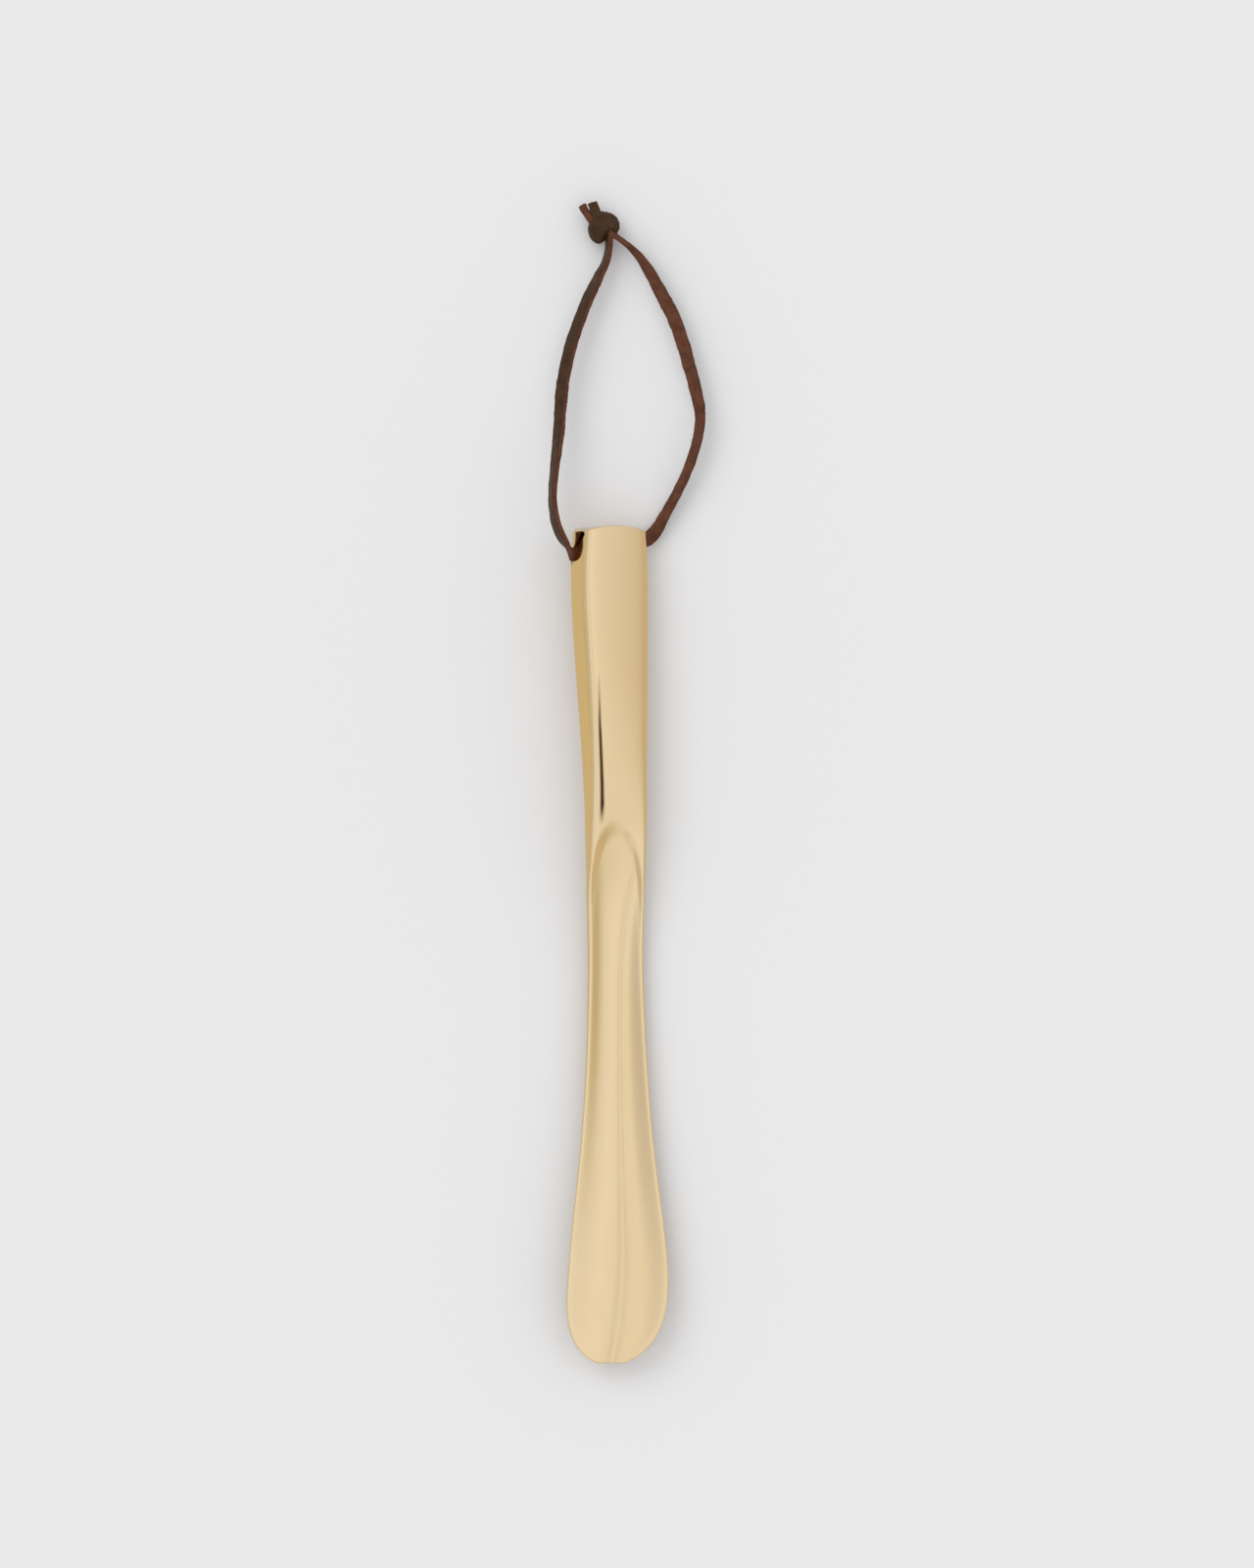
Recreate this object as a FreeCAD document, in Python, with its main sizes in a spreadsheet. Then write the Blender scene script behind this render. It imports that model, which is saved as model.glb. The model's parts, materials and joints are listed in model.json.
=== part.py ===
import FreeCAD, Part

# Long brass shoehorn: a twisted solid handle that runs out into an open, dished blade, with a flat
# leather thong through a slanted slot in the handle's top, knotted into a hanging loop.
#
# Frame, in millimetres: the shoehorn lies on its back on z = 0, the handle's top towards +Y, the
# blade's tip towards -Y and the hollow side up. The origin is under the middle of the brass.

import math
import os

from FreeCAD import Placement, Rotation, Vector

doc = FreeCAD.newDocument("long_shoehorn")
sheet = doc.addObject("Spreadsheet::Sheet", "dimensions")
sheet_row = 0


def dimension(name, value, meaning):
    """Writes one driving dimension on the sheet's next row, under its own alias."""
    global sheet_row
    sheet_row += 1
    sheet.set(f"A{sheet_row}", meaning)
    sheet.set(f"B{sheet_row}", f"{value}")
    sheet.setAlias(f"B{sheet_row}", name)


dimension("dome_top", 170.4, "top of the handle's domed end, along Y")
dimension("dome_radius", 42, "radius of the domed end, seen square to the front face")
dimension("front_corner", 1.9, "softness of the two front edges")
dimension("back_corner", 5.2, "softness of the two back edges")
dimension("slot_wide", 2.5, "width of the thong's slot")
dimension("slot_long", 15.6, "length of the thong's slot, with its round ends")
dimension("slot_slant", 31, "slant of the slot from the handle's axis, in degrees")
dimension("slot_place", 161.1, "middle of the slot, along Y")
dimension("slot_drop", 0.7, "middle of the slot, behind the middle of the handle")
dimension("thong_wide", 5, "width of the leather thong")
dimension("thong_thick", 2, "thickness of the leather thong")
dimension("thong_reach", 32.4, "length of the thong through the slot, a little proud at each mouth")
dimension("thong_tilt", 13, "turn of the thong inside the slot, in degrees")
dimension("strand_across", 3.6, "diameter of the plain tube that stands for a free strand")
dimension("knot_wide", 14.6, "knot, across")
dimension("knot_long", 12.4, "knot, along Y")
dimension("knot_tall", 9.6, "knot, up from the surface that it lies on")
dimension("knot_place_x", -6.6, "middle of the knot, along X")
dimension("knot_place_y", 293.6, "middle of the knot, along Y")
dimension("tail_wide", 3.8, "width of a cut end of the thong")
dimension("tail_long", 10.5, "length of a cut end, from inside the knot")

# The sections that the brass passes through, from the handle's end to the blade's tip. Each has its
# place along Y, its left and right edge along X, the depth of its sides, its roll about Y in degrees,
# the dish of its front (below 0 it is crowned), the belly of its back, and the lift of its lowest
# point off the surface.
SIZES = ("place", "left", "right", "deep", "roll", "dish", "belly", "foot", "lift")
SECTIONS = {
    "crown": (172.0, -17.9, 11.3, 14.8, 35, -0.7, 0.9, 3.8, 0.1),
    "collar": (160.0, -18.7, 11.9, 15.0, 35, -0.8, 1.0, 4.0, -0.25),
    "grip": (145.0, -19.3, 12.4, 15.0, 35, -0.9, 1.2, 4.0, 0.4),
    "palm": (121.0, -17.8, 12.2, 15.0, 35, -1.0, 1.4, 4.0, 1.5),
    "swell": (97.0, -16.0, 12.0, 14.6, 33, -1.0, 1.6, 3.8, 2.1),
    "shoulder": (73.0, -14.2, 11.8, 13.4, 29, -1.0, 1.8, 3.2, 3.3),
    "fork": (53.0, -13.3, 11.8, 11.4, 24, -0.4, 2.3, 2.4, 3.9),
    "arch": (38.0, -13.0, 11.6, 8.8, 19, 1.3, 3.2, 1.4, 3.8),
    "throat": (22.0, -12.8, 11.0, 6.0, 15, 3.3, 4.5, 0.6, 2.2),
    "waist": (0.0, -12.2, 10.2, 4.2, 11, 4.4, 5.8, 0.0, 0.2),
    "neck": (-22.0, -12.2, 10.6, 3.4, 8, 4.7, 6.0, 0.0, 0.3),
    "blade": (-50.0, -12.8, 12.0, 2.8, 6, 4.9, 6.0, 0.0, 1.3),
    "spread": (-80.0, -14.7, 14.2, 2.4, 5, 5.1, 6.0, 0.0, 2.7),
    "flare": (-106.0, -17.8, 17.8, 2.2, 4, 5.2, 6.0, 0.0, 4.1),
    "ball": (-132.0, -20.2, 21.3, 2.0, 3, 5.0, 5.8, 0.0, 5.8),
    "toe": (-148.0, -21.2, 20.3, 2.0, 2, 4.5, 5.3, 0.0, 7.2),
    "nail": (-157.0, -19.9, 17.4, 2.0, 2, 3.7, 4.4, 0.0, 8.2),
    "rim": (-163.5, -16.9, 12.8, 1.9, 1, 2.4, 3.0, 0.0, 9.0),
    "lip": (-167.8, -13.0, 7.8, 1.8, 1, 1.2, 1.6, 0.0, 9.7),
    "tip": (-170.4, -7.4, 1.4, 1.6, 0, 0.2, 0.4, 0.0, 10.4),
}
# How much of the foot, the flat underside that the handle lies on, each point of the back takes.
FOOT_SHARES = (0.64, 1.0, 0.88, 0.5, 0.2)
for section_name, sizes in SECTIONS.items():
    for size_name, value in zip(SIZES, sizes):
        dimension(f"{section_name}_{size_name}", value, f"section {section_name}: {size_name}")
doc.recompute()

# Where each free strand of the thong runs, from its mouth of the slot to the knot.
LEFT_ROUTE = [
    (-19.0, 157.9, 20.2),
    (-21.4, 157.3, 21.5),
    (-23.9, 159.3, 22.1),
    (-25.4, 164.0, 21.1),
    (-26.6, 171.6, 18.8),
    (-26.7, 181.4, 15.6),
    (-25.6, 193.6, 13.2),
    (-24.0, 205.4, 12.2),
    (-23.4, 217.4, 10.9),
    (-22.4, 229.4, 10.2),
    (-19.6, 242.4, 9.2),
    (-15.6, 254.6, 8.2),
    (-11.2, 265.4, 7.2),
    (-6.6, 274.4, 6.3),
    (-3.8, 281.0, 5.5),
    (-3.6, 286.6, 5.0),
]
RIGHT_ROUTE = [
    (9.6, 164.3, 4.8),
    (13.0, 165.0, 3.2),
    (15.8, 168.2, 3.3),
    (18.9, 174.4, 4.3),
    (23.8, 183.4, 5.2),
    (28.8, 193.8, 6.5),
    (32.4, 204.6, 7.3),
    (34.0, 214.6, 7.7),
    (32.4, 224.0, 7.7),
    (29.4, 235.0, 7.4),
    (26.2, 246.4, 7.0),
    (22.6, 256.4, 6.6),
    (17.6, 265.6, 6.2),
    (13.4, 273.6, 5.9),
    (8.6, 281.0, 5.6),
    (2.8, 286.4, 5.3),
    (-1.4, 289.4, 5.0),
]


def size(name):
    """A driving dimension's value, as a plain number."""
    return float(sheet.get(name))


def level_section(width, deep, dish, belly, foot):
    """The poles of a section before its roll, as (across, up): front, right, back and left side."""
    half = width / 2
    top = deep / 2
    front_soft = min(size("front_corner"), 0.3 * deep)
    back_soft = min(size("back_corner"), 0.3 * deep)
    inner = (-0.62, -0.32, 0.0, 0.32, 0.62)
    front = [(half * part, top - dish * (1 - part**2)) for part in inner]
    back = [
        (-half * part, -top - belly * (1 - part**2) - foot * share)
        for part, share in zip(inner, FOOT_SHARES)
    ]
    return [
        (-half + front_soft, top),
        *front,
        (half - front_soft, top),
        (half, top - front_soft),
        (half, 0.0),
        (half, back_soft - top),
        (half - back_soft, -top),
        *back,
        (-half + back_soft, -top),
        (-half, back_soft - top),
        (-half, 0.0),
        (-half, top - front_soft),
    ]


def closed_curve(poles):
    """A smooth closed curve with those poles."""
    curve = Part.BSplineCurve()
    curve.buildFromPoles(poles, True, 3)
    return curve.toShape()


def rolled_section(name):
    """One section's poles, set between its edges and on its lift, and where its middle lies."""
    place, left, right, deep, roll, dish, belly, foot, lift = (
        size(f"{name}_{part}") for part in SIZES
    )
    turn = Rotation(Vector(0, 1, 0), roll)
    width = (right - left - deep * math.sin(turn.Angle)) / math.cos(turn.Angle)
    level = [Vector(across, 0, up) for across, up in level_section(width, deep, dish, belly, foot)]
    poles = [turn.multVec(pole) for pole in level]
    box = closed_curve(poles).BoundBox
    stretch = (right - left) / box.XLength
    middle = Vector(left - box.XMin * stretch, place, lift - box.ZMin)
    return [middle + Vector(pole.x * stretch, 0, pole.z) for pole in poles], middle


def bound(kind, name, **sizes):
    """A Part object whose sizes are expressions on the sheet."""
    thing = doc.addObject(kind, name)
    for part, expression in sizes.items():
        thing.setExpression(part, expression)
    return thing


def brass_form():
    """The whole twisted form: one smooth skin over its sections, closed at both ends."""
    rings = [rolled_section(name)[0] for name in SECTIONS]
    around = len(rings[0])
    spans = len(rings) - 3
    skin = Part.BSplineSurface()
    skin.buildFromPolesMultsKnots(
        rings,
        [4] + [1] * (spans - 1) + [4],
        [1] * (around + 1),
        list(range(spans + 1)),
        list(range(around + 1)),
        False,
        True,
        3,
        3,
    )
    side = skin.toShape()
    ends = [Part.Face(Part.Wire([closed_curve(ring)])) for ring in (rings[0], rings[-1])]
    shell = Part.makeShell([side, *ends])
    shell.sewShape()
    form = doc.addObject("Part::Feature", "brass_form")
    form.Shape = Part.makeSolid(shell)
    return form


def handle_frame():
    """A placement in the middle of the slot: X across the handle, Y along it, Z out of its front."""
    roll = Rotation(Vector(0, 1, 0), size("collar_roll"))
    middle = rolled_section("collar")[1]
    middle.y = size("slot_place")
    return Placement(middle, roll)


def dome_waste():
    """What the domed end leaves of a block around the handle's top."""
    reach = 60
    block = doc.addObject("Part::Box", "end_block")
    block.Length = block.Width = block.Height = reach
    across_start = Vector(-reach / 2, 0, -reach / 2)
    block.Placement = handle_frame().multiply(Placement(across_start, Rotation()))
    round_end = bound("Part::Cylinder", "end_round", Radius="dimensions.dome_radius")
    round_end.Height = reach + 2
    centre = Vector(0, size("dome_top") - size("dome_radius") - size("slot_place"), -reach / 2 - 1)
    round_end.Placement = handle_frame().multiply(Placement(centre, Rotation()))
    waste = doc.addObject("Part::Cut", "end_waste")
    waste.Base = block
    waste.Tool = round_end
    return waste


def slot_cutter():
    """The slanted slot through the handle: a flat block with two round ends."""
    reach = 60
    slant = Rotation(Vector(1, 0, 0), size("slot_slant"))
    frame = handle_frame().multiply(Placement(Vector(0, 0, -size("slot_drop")), slant))
    straight = size("slot_long") - size("slot_wide")
    flat = bound(
        "Part::Box",
        "slot_flat",
        Width="dimensions.slot_long - dimensions.slot_wide",
        Height="dimensions.slot_wide",
    )
    flat.Length = reach
    start = Vector(-reach / 2, -straight / 2, -size("slot_wide") / 2)
    flat.Placement = frame.multiply(Placement(start, Rotation()))
    pieces = [flat]
    for end in (-1, 1):
        round_end = bound("Part::Cylinder", "slot_end", Radius="dimensions.slot_wide / 2")
        round_end.Height = reach
        along_x = Rotation(Vector(0, 1, 0), 90)
        start = Vector(-reach / 2, end * straight / 2, 0)
        round_end.Placement = frame.multiply(Placement(start, along_x))
        pieces.append(round_end)
    cutter = doc.addObject("Part::MultiFuse", "slot_cutter")
    cutter.Shapes = pieces
    return cutter


def shoehorn_body():
    """The brass: the twisted form with its end domed and its slot cut through."""
    domed = doc.addObject("Part::Cut", "domed_form")
    domed.Base = brass_form()
    domed.Tool = dome_waste()
    body = doc.addObject("Part::Cut", "shoehorn_body")
    body.Base = domed
    body.Tool = slot_cutter()
    return body


def thong_in_slot():
    """The flat stretch of thong inside the slot, just longer than the handle is wide there."""
    strip = bound(
        "Part::Box",
        "thong_in_slot",
        Length="dimensions.thong_reach",
        Width="dimensions.thong_wide",
        Height="dimensions.thong_thick",
    )
    slant = Rotation(Vector(1, 0, 0), size("slot_slant"))
    tilt = Rotation(Vector(0, 0, 1), size("thong_tilt"))
    frame = handle_frame().multiply(Placement(Vector(0, 0, -size("slot_drop")), slant))
    frame = frame.multiply(Placement(Vector(), tilt))
    start = Vector(-size("thong_reach") / 2, -size("thong_wide") / 2, -size("thong_thick") / 2)
    strip.Placement = frame.multiply(Placement(start, Rotation()))
    return strip


def rounded_route(route):
    """Straight runs joined by tangent arcs, each as large as its two runs allow, and the radii."""
    points = [Vector(*point) for point in route]
    edges = []
    radii = []
    last = points[0]
    for before, corner, after in zip(points, points[1:], points[2:]):
        back = (before - corner).normalize()
        ahead = (after - corner).normalize()
        half_turn = (math.pi - back.getAngle(ahead)) / 2
        cut = 0.45 * min((before - corner).Length, (after - corner).Length)
        radius = cut / math.tan(half_turn)
        inward = (back + ahead).normalize()
        middle = corner + inward * (radius / math.cos(half_turn) - radius)
        start = corner + back * cut
        end = corner + ahead * cut
        edges.append(Part.LineSegment(last, start).toShape())
        edges.append(Part.Arc(start, middle, end).toShape())
        radii.append(radius)
        last = end
    edges.append(Part.LineSegment(last, points[-1]).toShape())
    return Part.Wire(edges), radii


def strand(name, route):
    """A free strand of the thong, as a plain round tube along its route."""
    path, radii = rounded_route(route)
    spine = doc.addObject("Part::Feature", f"{name}_route")
    spine.Shape = path
    ring = bound("Part::Circle", f"{name}_ring", Radius="dimensions.strand_across / 2")
    start = Vector(*route[0])
    facing = Rotation(Vector(0, 0, 1), Vector(*route[1]) - start)
    ring.Placement = Placement(start, facing)
    tube = doc.addObject("Part::Sweep", name)
    tube.Sections = [ring]
    tube.Spine = (spine, [f"Edge{number + 1}" for number in range(len(path.Edges))])
    tube.Solid = True
    tube.Frenet = False
    doc.recompute()
    expected = math.pi * (size("strand_across") / 2) ** 2 * path.Length
    print(name, "length", round(path.Length, 1), "volume over expected", tube.Shape.Volume / expected)
    print(name, "radii", [round(radius, 1) for radius in radii])
    return tube


def thong_knot():
    """The overhand knot's outer shape, lying on the surface."""
    knot = bound(
        "Part::Ellipsoid",
        "thong_knot",
        Radius1="dimensions.knot_tall / 2",
        Radius2="dimensions.knot_wide / 2",
        Radius3="dimensions.knot_long / 2",
    )
    middle = Vector(size("knot_place_x"), size("knot_place_y"), size("knot_tall") / 2)
    knot.Placement = Placement(middle, Rotation())
    return knot


def thong_tail(name, knot, lean, rise):
    """One cut end of the thong, out of the knot's far side, leaning to its left or right."""
    strip = bound(
        "Part::Box",
        f"{name}_strip",
        Length="dimensions.tail_wide",
        Width="dimensions.tail_long",
        Height="dimensions.thong_thick",
    )
    start = Vector(-size("tail_wide") / 2, 0, -size("thong_thick") / 2)
    root = Vector(size("knot_place_x"), size("knot_place_y"), rise)
    turn = Placement(root, Rotation(Vector(0, 0, 1), lean))
    strip.Placement = turn.multiply(Placement(start, Rotation()))
    tail = doc.addObject("Part::Cut", name)
    tail.Base = strip
    tail.Tool = knot
    return tail


def checked(thing):
    """The object, once its shape is known to be one sound solid."""
    shape = thing.Shape
    if shape.isNull() or not shape.isValid() or len(shape.Solids) != 1:
        raise RuntimeError(f"{thing.Label}: its shape isn't one valid solid")
    print(thing.Label, "volume", round(shape.Volume, 1), shape.optimalBoundingBox(False))
    return thing


knot = thong_knot()
nodes = [
    shoehorn_body(),
    thong_in_slot(),
    strand("thong_left_strand", LEFT_ROUTE),
    strand("thong_right_strand", RIGHT_ROUTE),
    knot,
    thong_tail("thong_tail_front", knot, 22, 6.4),
    thong_tail("thong_tail_back", knot, -4, 3.6),
]
doc.recompute()
for thing in doc.Objects:
    if {"Invalid", "Error"} & set(thing.State):
        raise RuntimeError(f"{thing.Label} failed: {thing.State}")
os.makedirs("parts", exist_ok=True)
for thing in [checked(node) for node in nodes]:
    thing.Shape.exportStep(f"parts/{thing.Label}.step")
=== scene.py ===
import json
import math

import bmesh
import bpy
from bpy.props import FloatProperty, FloatVectorProperty, PointerProperty
from mathutils import Matrix, Vector, noise

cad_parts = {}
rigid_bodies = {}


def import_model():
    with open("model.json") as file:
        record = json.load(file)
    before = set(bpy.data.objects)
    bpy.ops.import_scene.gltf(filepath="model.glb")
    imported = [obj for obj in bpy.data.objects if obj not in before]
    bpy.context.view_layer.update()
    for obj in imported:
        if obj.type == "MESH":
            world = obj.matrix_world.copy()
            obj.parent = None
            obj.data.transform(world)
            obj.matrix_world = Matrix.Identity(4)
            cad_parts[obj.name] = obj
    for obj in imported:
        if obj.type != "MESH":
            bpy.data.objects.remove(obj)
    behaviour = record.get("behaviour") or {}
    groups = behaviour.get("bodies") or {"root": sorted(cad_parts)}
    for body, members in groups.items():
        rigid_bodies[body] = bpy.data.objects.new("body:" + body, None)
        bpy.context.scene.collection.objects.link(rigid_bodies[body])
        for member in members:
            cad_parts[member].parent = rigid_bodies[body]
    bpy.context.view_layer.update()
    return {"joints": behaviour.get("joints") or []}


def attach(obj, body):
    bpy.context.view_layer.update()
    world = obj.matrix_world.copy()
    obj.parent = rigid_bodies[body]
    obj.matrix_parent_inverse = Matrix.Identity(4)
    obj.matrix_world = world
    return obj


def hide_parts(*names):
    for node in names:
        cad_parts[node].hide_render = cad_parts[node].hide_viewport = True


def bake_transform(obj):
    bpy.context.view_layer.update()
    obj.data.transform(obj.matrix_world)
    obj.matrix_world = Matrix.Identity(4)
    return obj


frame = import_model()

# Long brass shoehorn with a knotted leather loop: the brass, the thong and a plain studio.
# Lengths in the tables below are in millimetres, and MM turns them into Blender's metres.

bl_info = {
    "name": "Long brass shoehorn",
    "version": (1, 0, 0),
    "blender": (4, 5, 0),
    "location": "View3D > Sidebar > Shoehorn",
    "description": "Builds a twisted brass shoehorn and its knotted leather loop around their frame",
    "category": "Object",
}

MM = 0.001
SWING = frame["joints"][0]
SHOEHORN = SWING["parent"]
LOOP = SWING["child"]

# The sections that the brass passes through, from the handle's end to the blade's tip: place along Y,
# left and right edge, depth of the sides, roll in degrees, dish of the front (below 0 it is crowned),
# belly of the back, foot under the handle, and lift of the lowest point off the surface.
SECTIONS = {
    "crown": (172.0, -17.9, 11.3, 14.8, 35, -0.7, 0.9, 3.8, 0.1),
    "collar": (160.0, -18.7, 11.9, 15.0, 35, -0.8, 1.0, 4.0, -0.25),
    "grip": (145.0, -19.3, 12.4, 15.0, 35, -0.9, 1.2, 4.0, 0.4),
    "palm": (121.0, -17.8, 12.2, 15.0, 35, -1.0, 1.4, 4.0, 1.5),
    "swell": (97.0, -16.0, 12.0, 14.6, 33, -1.0, 1.6, 3.8, 2.1),
    "shoulder": (73.0, -14.2, 11.8, 13.4, 29, -1.0, 1.8, 3.2, 3.3),
    "fork": (53.0, -13.3, 11.8, 11.4, 24, -0.4, 2.3, 2.4, 3.9),
    "arch": (38.0, -13.0, 11.6, 8.8, 19, 1.3, 3.2, 1.4, 3.8),
    "throat": (22.0, -12.8, 11.0, 6.0, 15, 3.3, 4.5, 0.6, 2.2),
    "waist": (0.0, -12.2, 10.2, 4.2, 11, 4.4, 5.8, 0.0, 0.2),
    "neck": (-22.0, -12.2, 10.6, 3.4, 8, 4.7, 6.0, 0.0, 0.3),
    "blade": (-50.0, -12.8, 12.0, 2.8, 6, 4.9, 6.0, 0.0, 1.3),
    "spread": (-80.0, -14.7, 14.2, 2.4, 5, 5.1, 6.0, 0.0, 2.7),
    "flare": (-106.0, -17.8, 17.8, 2.2, 4, 5.2, 6.0, 0.0, 4.1),
    "ball": (-132.0, -20.2, 21.3, 2.0, 3, 5.0, 5.8, 0.0, 5.8),
    "toe": (-148.0, -21.2, 20.3, 2.0, 2, 4.5, 5.3, 0.0, 7.2),
    "nail": (-157.0, -19.9, 17.4, 2.0, 2, 3.7, 4.4, 0.0, 8.2),
    "rim": (-163.5, -16.9, 12.8, 1.9, 1, 2.4, 3.0, 0.0, 9.0),
    "lip": (-167.8, -13.0, 7.8, 1.8, 1, 1.2, 1.6, 0.0, 9.7),
    "tip": (-170.4, -7.4, 1.4, 1.6, 0, 0.2, 0.4, 0.0, 10.4),
}
# Where a section's inner poles stand across its half width, on the front and on the back, and how much
# of the foot, the flat underside that the handle lies on, each point of the back takes.
INNER_POLES = (-0.62, -0.32, 0.0, 0.32, 0.62)
FOOT_SHARES = (0.64, 1.0, 0.88, 0.5, 0.2)
# How soft the front and back edges are, but never more than this share of the sides' depth.
FRONT_CORNER = 1.5
BACK_CORNER = 5.2
CORNER_LIMIT = 0.3
# The surface counts as the front where its normal points up by more than this.
LOOKS_UP = 0.1
# The arch where the blade's scoop starts in the handle's front: its middle and half its width, where its
# foot stands and how long it is, the width and height of its step, and how it fades out on the blade.
ARCH_MIDDLE = -0.6
ARCH_HALF_WIDE = 11.7
ARCH_FOOT = 14.0
ARCH_LONG = 38.0
ARCH_WALL = 2.6
ARCH_DEEP = 1.4
ARCH_FADE_FROM = -10.0
ARCH_FADE_LONG = 40.0
# The crease beside the ridge, from its faint top to the arch, as points across and along. Then its width
# and depth, how fast it starts and ends, how narrow it starts, and how much stronger than its depth the
# painted dark reflection along it is.
CREASE_LINE = ((-7.5, 112.0), (-7.2, 90.0), (-6.7, 78.0), (-6.3, 66.0), (-6.2, 58.0), (-6.6, 49.0))
CREASE_WIDE = 1.7
CREASE_DEEP = 0.25
CREASE_START = 2.5
CREASE_END = 8.0
CREASE_NARROWEST = 0.45
CREASE_PAINTED_REFLECTION = 1.25
# The domed end: its shape, how far along from collar to crown its outline is taken, how far its inner
# rings are pulled in to the axis, and how far behind its edge the rings lie that keep it crisp.
DOME_TOP = 170.4
DOME_RADIUS = 42.0
DOME_SECTION = 0.75
DOME_INSETS = (0.75, 0.4, 0.12, 0.03)
DOME_EDGE_STEPS = (0.5, 2.2)
# The thong's slot, slanted from the handle's axis and set a little behind its middle.
SLOT_LONG = 15.6
SLOT_WIDE = 2.5
SLOT_SLANT = math.radians(31)
SLOT_PLACE = 161.1
SLOT_DROP = 0.7
CUTTER_LONG = 60.0

# The thong's two free strands, from the middle of the slot to the knot: the route's points, and the
# way that the grain side faces at each of them. A strand leaves the brass at its third point.
LEFT_ROUTE = [
    ((-4.7, 161.1, 12.3), (-0.49, 0.52, -0.70)),
    ((-12.0, 159.4, 16.2), (-0.49, 0.52, -0.70)),
    ((-17.4, 158.2, 19.0), (-0.60, 0.20, -0.78)),
    ((-19.0, 159.6, 20.7), (-0.90, -0.35, -0.20)),
    ((-21.0, 163.2, 21.2), (-0.92, -0.30, 0.22)),
    ((-23.6, 167.0, 20.1), (-0.86, -0.20, 0.46)),
    ((-25.6, 173.0, 18.3), (-0.88, -0.10, 0.44)),
    ((-26.7, 181.4, 15.7), (-0.92, 0.00, 0.34)),
    ((-25.7, 193.6, 13.2), (-0.90, 0.05, 0.42)),
    ((-24.1, 205.4, 12.2), (-0.78, 0.05, 0.62)),
    ((-23.4, 217.4, 10.9), (-0.68, 0.05, 0.74)),
    ((-22.4, 229.4, 10.2), (-0.62, 0.10, 0.78)),
    ((-19.6, 242.4, 9.2), (-0.60, 0.25, 0.76)),
    ((-15.6, 254.6, 8.2), (-0.62, 0.25, 0.74)),
    ((-11.2, 265.4, 7.2), (-0.70, 0.20, 0.68)),
    ((-6.6, 274.4, 6.3), (-0.85, 0.20, 0.48)),
    ((-3.6, 281.0, 5.5), (-0.96, 0.10, 0.25)),
    ((-3.4, 289.0, 5.2), (-0.97, 0.00, 0.25)),
]
RIGHT_ROUTE = [
    ((-4.7, 161.1, 12.3), (-0.49, 0.52, -0.70)),
    ((4.0, 163.0, 7.6), (-0.49, 0.52, -0.70)),
    ((9.6, 164.3, 4.8), (-0.40, 0.45, -0.80)),
    ((12.6, 165.4, 3.6), (0.00, 0.20, -0.98)),
    ((15.6, 168.8, 3.4), (0.45, -0.30, -0.78)),
    ((18.8, 174.4, 4.1), (0.66, -0.40, -0.55)),
    ((23.8, 183.4, 5.2), (0.70, -0.45, -0.48)),
    ((28.8, 193.8, 6.5), (0.76, -0.40, -0.48)),
    ((32.4, 204.6, 7.3), (0.84, -0.20, -0.48)),
    ((34.0, 214.6, 7.7), (0.86, 0.00, -0.50)),
    ((32.4, 224.0, 7.7), (0.66, 0.20, -0.72)),
    ((29.4, 235.0, 7.4), (0.56, 0.20, -0.80)),
    ((26.2, 246.4, 7.0), (0.48, 0.20, -0.84)),
    ((22.6, 256.4, 6.6), (0.40, 0.25, -0.87)),
    ((17.6, 265.6, 6.2), (0.50, 0.35, -0.79)),
    ((13.4, 273.6, 5.9), (0.70, 0.40, -0.58)),
    ((8.6, 281.0, 5.6), (0.82, 0.50, -0.25)),
    ((2.8, 286.4, 5.3), (0.70, 0.70, 0.05)),
    ((-3.4, 290.6, 5.2), (0.50, 0.80, 0.10)),
]
# Each strand's side, its route, the frame's nodes that it stands for, and the knot's pieces on it.
STRANDS = (
    (
        "left",
        LEFT_ROUTE,
        ("thong_left_strand", "thong_in_slot"),
        ("leather_wrap", "leather_front_tail"),
    ),
    (
        "right",
        RIGHT_ROUTE,
        ("thong_right_strand",),
        ("leather_fold", "leather_back_tail"),
    ),
)

# The knot: its middle, its axis from the strands to the tails, and how far its wrap stands off the axis
# sideways and upwards, at its start and at its end. Then the wrap's turns, its points in each turn, the
# angle that it starts at, how far it shifts along the axis, and how its turns lean over one another.
KNOT_MIDDLE = (-6.6, 292.8, 4.9)
KNOT_AXIS = (-0.66, 0.75, 0.0)
WRAP_SIDE = (4.4, 5.9)
WRAP_UP = (2.8, 3.7)
WRAP_TURNS = 2.1
WRAP_POINTS = 12
WRAP_START = math.radians(-120)
WRAP_SHIFT = (0.8, -1.0)
WRAP_LEAN = 0.9
WRAP_LEAN_TURN = 0.6
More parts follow.
